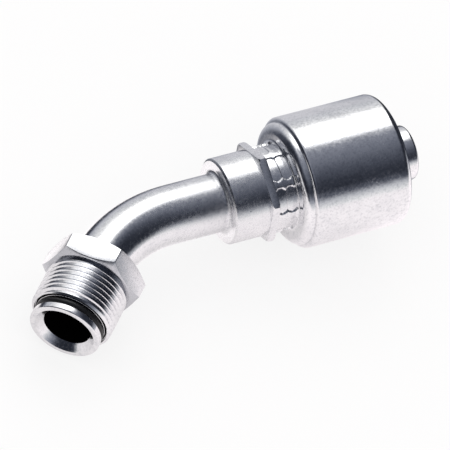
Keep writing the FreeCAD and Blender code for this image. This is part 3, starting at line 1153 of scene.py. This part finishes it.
class FITTING_OT_bent_tube(bpy.types.Operator):
    """Models the bent tube"""
    bl_idname = "fitting.bent_tube"
    bl_label = "Bent tube"
    bl_options = {"REGISTER", "UNDO"}

    def execute(self, context):
        scene = context.scene
        stem, tube = scene.fitting_stem, scene.fitting_tube
        face = stem_stations(stem, scene.fitting_shell)[2]
        bend = bend_start_x(tube)
        piece = shape_tube(tube, bend, face + stem.socket_depth)
        outside = turned_zinc(
            "tube_zinc", scene.fitting_finish, hose_frame(), roughness=(0.10, 0.18), rings=0.0,
            mottle=0.7, dull=(bend - 12 * MM, face, 0.22))
        # The inside of the tube's wall is painted shade
        inside = painted_shade_bore("tube_bore_painted_shade", hose_frame())
        place(piece, hose_frame(), [outside, inside], "bent_tube", "fitting", "plated_steel")
        return {"FINISHED"}


class FITTING_OT_braze_fillet(bpy.types.Operator):
    """Models the braze fillet between the tube and the collar"""
    bl_idname = "fitting.braze_fillet"
    bl_label = "Braze fillet"
    bl_options = {"REGISTER", "UNDO"}

    def execute(self, context):
        scene = context.scene
        face = stem_stations(scene.fitting_stem, scene.fitting_shell)[2]
        piece = shape_braze(scene.fitting_tube, face)
        material = turned_zinc(
            "braze_zinc", scene.fitting_finish, hose_frame(), roughness=(0.20, 0.36), rings=0.0,
            mottle=1.2)
        place(piece, hose_frame(), [material], "braze_fillet", "fitting", "braze")
        return {"FINISHED"}


class FITTING_OT_swivel_nut(bpy.types.Operator):
    """Models the swivel nut with its cut thread"""
    bl_idname = "fitting.swivel_nut"
    bl_label = "Swivel nut"
    bl_options = {"REGISTER", "UNDO"}

    def execute(self, context):
        scene = context.scene
        nut = scene.fitting_nut
        piece = shape_nut(nut)
        matrix = nut_frame(scene.fitting_tube)
        face = nut_stations(nut)[1]
        thread_end = face + nut.thread_length - nut.thread_chamfer
        groove_bottom = nut.thread_diameter / 2 - 0.49 * nut.thread_pitch
        material = turned_zinc(
            "nut_zinc", scene.fitting_finish, matrix, mottle=0.6,
            dull=(face + nut.relief_width, face, 0.12),
            # Painted shade on the hexagon's face towards the thread
            shaded_faces=(face - 2 * MM, face + 0.4 * MM),
            # Painted shade in the thread's roots
            grooves=(face, thread_end, groove_bottom))
        place(piece, matrix, [material], "swivel_nut", "nut", "plated_steel")
        return {"FINISHED"}


class FITTING_OT_seal_nose(bpy.types.Operator):
    """Models the seal nose"""
    bl_idname = "fitting.seal_nose"
    bl_label = "Seal nose"
    bl_options = {"REGISTER", "UNDO"}

    def execute(self, context):
        scene = context.scene
        piece = shape_nose(scene.fitting_nose, scene.fitting_nut, scene.fitting_tube)
        matrix = nut_frame(scene.fitting_tube)
        outside = turned_zinc(
            "nose_zinc", scene.fitting_finish, matrix, roughness=(0.08, 0.18), mottle=0.6)
        # The nose's bore is painted shade
        inside = painted_shade_bore("nose_bore_painted_shade", matrix)
        place(piece, matrix, [outside, inside], "seal_nose", "fitting", "plated_steel")
        return {"FINISHED"}


class FITTING_OT_o_ring(bpy.types.Operator):
    """Models the O-ring"""
    bl_idname = "fitting.o_ring"
    bl_label = "O-ring"
    bl_options = {"REGISTER", "UNDO"}

    def execute(self, context):
        scene = context.scene
        piece = shape_ring(scene.fitting_nose, scene.fitting_nut, scene.fitting_tube)
        matrix = nut_frame(scene.fitting_tube)
        material = moulded_rubber("ring_rubber", scene.fitting_finish, matrix)
        place(piece, matrix, [material], "o_ring", "fitting", "black_rubber")
        return {"FINISHED"}


# Studio

# The camera, from the centre of the shell's mouth and on the bend plane's own frame
CAMERA_AT = (-559.17 * MM, -678.88 * MM, 1205.14 * MM)
CAMERA_RIGHT = (0.90607, -0.38810, 0.16857)
CAMERA_UP = (0.24009, 0.79960, 0.55045)
# Its picture in pixels: the side, the focal length, and the place from the left and from the top
# that a camera with these two directions faces
PICTURE_SIDE = 450
FOCAL_LENGTH = 4620.34
AXIS_LEFT = 260.36
AXIS_TOP = 200.46


def add_camera():
    """The camera, turned from the place that it faces to the middle of the picture."""
    bpy.ops.object.select_all(action="DESELECT")
    bpy.ops.object.camera_add()
    camera = bpy.context.active_object
    right, up = Vector(CAMERA_RIGHT), Vector(CAMERA_UP)
    turn = Matrix((right, up, right.cross(up))).transposed().to_4x4()
    pan = math.atan((AXIS_LEFT - PICTURE_SIDE / 2) / FOCAL_LENGTH)
    tilt = math.atan((AXIS_TOP - PICTURE_SIDE / 2) / FOCAL_LENGTH)
    aim = Matrix.Rotation(pan, 4, "Y") @ Matrix.Rotation(tilt, 4, "X")
    camera.matrix_world = hose_frame() @ Matrix.Translation(CAMERA_AT) @ turn @ aim
    camera.data.lens = camera.data.sensor_width * FOCAL_LENGTH / PICTURE_SIDE
    camera.data.clip_start = 0.05
    camera.data.clip_end = 50
    bpy.context.scene.camera = camera


# How bright the soft boxes and dark flags are, from black at 0 to white at 1 on a screen. Each row
# is a height above the bend plane and, at that height, pairs of an angle round the fitting and a
# brightness. The nut's front is at 0 degrees, the hose at 90 and the far side at 180.
STUDIO = (
    (0, ((-180, .74), (-160, .62), (-140, .28), (-122, .15), (-108, .20), (-98, .84), (-60, .88),
         (15, .92), (36, .86), (56, .78), (76, .66), (94, .20), (136, .20), (147, .80), (165, .72),
         (180, .74))),
    (12, ((-180, .80), (-160, .70), (-140, .26), (-122, .15), (-106, .18), (-90, .26), (-60, .22),
          (-40, .30), (-26, .62), (20, .75), (32, .57), (46, .26), (70, .20), (136, .17), (145, .90),
          (158, .78), (180, .80))),
    (19, ((-180, .84), (-160, .76), (-140, .28), (-120, .15), (-60, .15), (-40, .18), (-26, .50),
          (10, .50), (26, .30), (44, .18), (65, .16), (112, .14), (137, .15), (145, 1.0), (158, .86),
          (180, .84))),
    (30, ((-180, .90), (-160, .84), (-140, .32), (-120, .16), (-50, .15), (-15, .22), (12, .20),
          (45, .17), (75, .17), (120, .13), (136, .15), (142, 1.3), (165, 1.2), (180, .90))),
    (42, ((-180, 1.0), (-160, 1.1), (-140, .50), (-120, .24), (-50, .26), (12, .20), (45, .22),
          (75, .18), (126, .14), (134, .40), (140, 1.4), (170, 1.4), (180, 1.0))),
    (54, ((-180, 1.1), (-160, 1.1), (-140, .70), (-120, .44), (-75, .44), (-55, .40), (30, .30),
          (60, .28), (90, .28), (114, .42), (128, .80), (142, 1.4), (174, 1.4), (180, 1.1))),
    (66, ((-180, .60), (-140, .76), (-110, .52), (-60, .47), (-15, .38), (30, .36), (90, .45),
          (130, .55), (150, .60), (180, .60))),
    (90, ((-180, .50), (180, .50))),
)
# The same pairs for the floor as the steel mirrors it, at angles round a place under the fitting:
# painted shades that the camera doesn't see
FLOOR_PAINTED_SHADES = (
    (-180, .74), (-160, .62), (-142, .28), (-122, .16), (-110, .26), (-99, .84), (-78, .88),
    (-60, .92), (-35, .95), (20, .93), (40, .94), (62, 1.0), (80, .95), (91, .55), (98, .20),
    (137, .15), (146, .60), (156, .76), (180, .74))
FLOOR_CENTRE = (-25 * MM, -4 * MM)
# A painted pool of light on the floor, in an oval close behind the tube, that only the steel mirrors
PAINTED_POOL_CENTRE = (-88 * MM, 13 * MM)
PAINTED_POOL_SIZE = (48 * MM, 25 * MM)
PAINTED_POOL_COLOUR = (1.30, 1.25, 1.26, 1)
FLOOR_SIDE = 8
FLOOR_GLOW = 0.8                     # share of the floor's look that is plain light, to the camera
MIRRORED_PAINTED_GLOW = 0.6                  # the same to the plated steel: a painted glow, so the floor lights up in reflections
STEEL_SHARE = 0.80                   # share of the light that the plated steel gives back
FLAG_TINT = (-0.20, -0.06, 0.40)     # a dark flag's colour, as a change to red, green and blue
PAPER_TINT = (0.01, -0.05, -0.03)    # the same for the pale paper and the floor's painted shades
WHITE = (1, 1, 1, 1)


def studio_colour(level, tint):
    """A light's colour at a brightness: bluish where it is dark, tinted where it is bright."""
    screen_lift, screen_power = 0.055, 2.4
    untinted = 0.85
    light = ((level + screen_lift) / (1 + screen_lift)) ** screen_power / STEEL_SHARE
    dark = max(0.0, 1 - level / untinted)
    pale = min(1.0, level) ** 4
    return *(light * (1 + dark * d + pale * t) for d, t in zip(FLAG_TINT, tint)), 1


def turn_round(nodes, links, place):
    """Angle round the fitting of a place or a direction, from 0 to 1, with 0.5 on the side of
    the nut's front."""
    front = maths(nodes, links, "MULTIPLY", place["Y"], -1.0)
    angle = maths(nodes, links, "ARCTAN2", place["X"], front)
    return maths(nodes, links, "MULTIPLY_ADD", angle, 1 / TURN, 0.5)


def studio_ramp(nodes, links, around, levels, tint=(0, 0, 0)):
    """The studio's colours round the fitting, from pairs of an angle and a brightness."""
    ramp = nodes.new("ShaderNodeValToRGB")
    elements = ramp.color_ramp.elements
    for k, (angle, level) in enumerate(levels):
        at = angle / 360 + 0.5
        element = elements[k] if k < 2 else elements.new(at)
        element.position = at
        element.color = studio_colour(level, tint)
    links.new(around, ramp.inputs["Fac"])
    return ramp.outputs["Color"]


def painted_floor_reflection(nodes, links):
    """What the steel mirrors of the floor: painted shades round the fitting and a painted pool of light
    in an oval.
    """
    where = nodes.new("ShaderNodeTexCoord")
    centred = nodes.new("ShaderNodeMapping")
    centred.inputs["Location"].default_value = (-FLOOR_CENTRE[0], -FLOOR_CENTRE[1], 0)
    links.new(where.outputs["Object"], centred.inputs["Vector"])
    split = nodes.new("ShaderNodeSeparateXYZ")
    links.new(centred.outputs["Vector"], split.inputs["Vector"])
    around = turn_round(nodes, links, split.outputs)
    painted_shades = studio_ramp(nodes, links, around, FLOOR_PAINTED_SHADES, PAPER_TINT)
    oval = nodes.new("ShaderNodeMapping")
    oval.inputs["Location"].default_value = (*(-c / w for c, w in zip(PAINTED_POOL_CENTRE, PAINTED_POOL_SIZE)), 0)
    oval.inputs["Scale"].default_value = (*(1 / w for w in PAINTED_POOL_SIZE), 1)
    links.new(where.outputs["Object"], oval.inputs["Vector"])
    away = nodes.new("ShaderNodeVectorMath")
    away.operation = "LENGTH"
    links.new(oval.outputs["Vector"], away.inputs[0])
    close = ranged(nodes, links, away.outputs["Value"], 1.0, 0.0, from_low=0.75, from_high=1.15)
    return mixed(nodes, links, close, painted_shades, PAINTED_POOL_COLOUR)


def add_floor(finish):
    """A pale floor that keeps the fitting's shadow; the steel mirrors it with painted shades, a painted
    pool of light and a painted glow.
    """
    bpy.ops.object.select_all(action="DESELECT")
    bpy.ops.mesh.primitive_plane_add(size=FLOOR_SIDE, location=(0, 0, CAD_BOX[0].z))
    floor = bpy.context.active_object
    floor.name = "floor"
    material, nodes, links, surface = new_material("floor_paper")
    surface.inputs["Roughness"].default_value = 0.9
    surface.inputs["Specular IOR Level"].default_value = 0.1
    painted_shades = painted_floor_reflection(nodes, links)
    path = nodes.new("ShaderNodeLightPath")
    glossy = path.outputs["Is Glossy Ray"]
    # Only reflections see the painted shades and the painted pool of light; the camera sees the plain
    # floor
    links.new(mixed(nodes, links, glossy, (*finish.floor, 1), painted_shades), surface.inputs["Base Color"])
    glow = nodes.new("ShaderNodeEmission")
    links.new(mixed(nodes, links, glossy, WHITE, painted_shades), glow.inputs["Color"])
    seen = maths(nodes, links, "MULTIPLY", path.outputs["Is Camera Ray"], FLOOR_GLOW)
    share = maths(nodes, links, "MULTIPLY_ADD", glossy, MIRRORED_PAINTED_GLOW, seen)
    mix = nodes.new("ShaderNodeMixShader")
    links.new(share, mix.inputs["Fac"])
    links.new(surface.outputs["BSDF"], mix.inputs[1])
    links.new(glow.outputs["Emission"], mix.inputs[2])
    links.new(mix.outputs["Shader"], nodes["Material Output"].inputs["Surface"])
    floor.data.materials.append(material)


def light_studio():
    """Soft boxes and dark flags round the fitting, as the colours of the world."""
    world = bpy.data.worlds.new("studio")
    bpy.context.scene.world = world
    world.use_nodes = True
    nodes, links = world.node_tree.nodes, world.node_tree.links
    where = nodes.new("ShaderNodeTexCoord")
    mapping = nodes.new("ShaderNodeMapping")
    mapping.inputs["Rotation"].default_value = hose_frame().to_3x3().transposed().to_euler()
    links.new(where.outputs["Generated"], mapping.inputs["Vector"])
    split = nodes.new("ShaderNodeSeparateXYZ")
    links.new(mapping.outputs["Vector"], split.inputs["Vector"])
    around = turn_round(nodes, links, split.outputs)
    height = maths(nodes, links, "ARCSINE", split.outputs["Z"])
    colour = None
    for low, (above, levels) in zip((None, *STUDIO), STUDIO):
        band = studio_ramp(nodes, links, around, levels)
        if low:
            rise = nodes.new("ShaderNodeMapRange")
            rise.inputs["From Min"].default_value = math.radians(low[0])
            rise.inputs["From Max"].default_value = math.radians(above)
            links.new(height, rise.inputs["Value"])
            band = mixed(nodes, links, rise.outputs["Result"], colour, band)
        colour = band
    path = nodes.new("ShaderNodeLightPath")
    plain = maths(nodes, links, "MAXIMUM", path.outputs["Is Camera Ray"], path.outputs["Is Diffuse Ray"])
    links.new(mixed(nodes, links, plain, colour, WHITE), nodes["Background"].inputs["Color"])


class FITTING_OT_studio(bpy.types.Operator):
    """Adds the floor, the light and the camera"""
    bl_idname = "fitting.studio"
    bl_label = "Studio"
    bl_options = {"REGISTER", "UNDO"}

    def execute(self, context):
        add_floor(context.scene.fitting_finish)
        light_studio()
        add_camera()
        context.scene.view_settings.view_transform = "Standard"
        return {"FINISHED"}


SETTINGS = {
    "fitting_shell": ShellSizes,
    "fitting_stem": StemSizes,
    "fitting_tube": TubeSizes,
    "fitting_nut": NutSizes,
    "fitting_nose": NoseSizes,
    "fitting_finish": FinishSettings,
}
PIECES = (
    FITTING_OT_crimp_shell,
    FITTING_OT_hose_stem,
    FITTING_OT_bent_tube,
    FITTING_OT_braze_fillet,
    FITTING_OT_swivel_nut,
    FITTING_OT_seal_nose,
    FITTING_OT_o_ring,
    FITTING_OT_studio,
)


class FITTING_PT_panel(bpy.types.Panel):
    """Lists the fitting's pieces and their sizes"""
    bl_label = "Hose fitting"
    bl_idname = "FITTING_PT_panel"
    bl_space_type = "VIEW_3D"
    bl_region_type = "UI"
    bl_category = "Hose fitting"

    def draw(self, context):
        for operator in PIECES:
            self.layout.operator(operator.bl_idname)
        for setting in SETTINGS:
            group = getattr(context.scene, setting)
            box = self.layout.box()
            for name in group.__annotations__:
                box.prop(group, name)


CLASSES = (*SETTINGS.values(), *PIECES, FITTING_PT_panel)


def register():
    for cls in CLASSES:
        bpy.utils.register_class(cls)
    for name, group in SETTINGS.items():
        setattr(bpy.types.Scene, name, PointerProperty(type=group))


def unregister():
    for name in SETTINGS:
        delattr(bpy.types.Scene, name)
    for cls in reversed(CLASSES):
        bpy.utils.unregister_class(cls)


def main():
    register()
    bpy.ops.fitting.crimp_shell()
    bpy.ops.fitting.hose_stem()
    bpy.ops.fitting.bent_tube()
    bpy.ops.fitting.braze_fillet()
    bpy.ops.fitting.swivel_nut()
    bpy.ops.fitting.seal_nose()
    bpy.ops.fitting.o_ring()
    bpy.ops.fitting.studio()


if __name__ == "__main__":
    main()
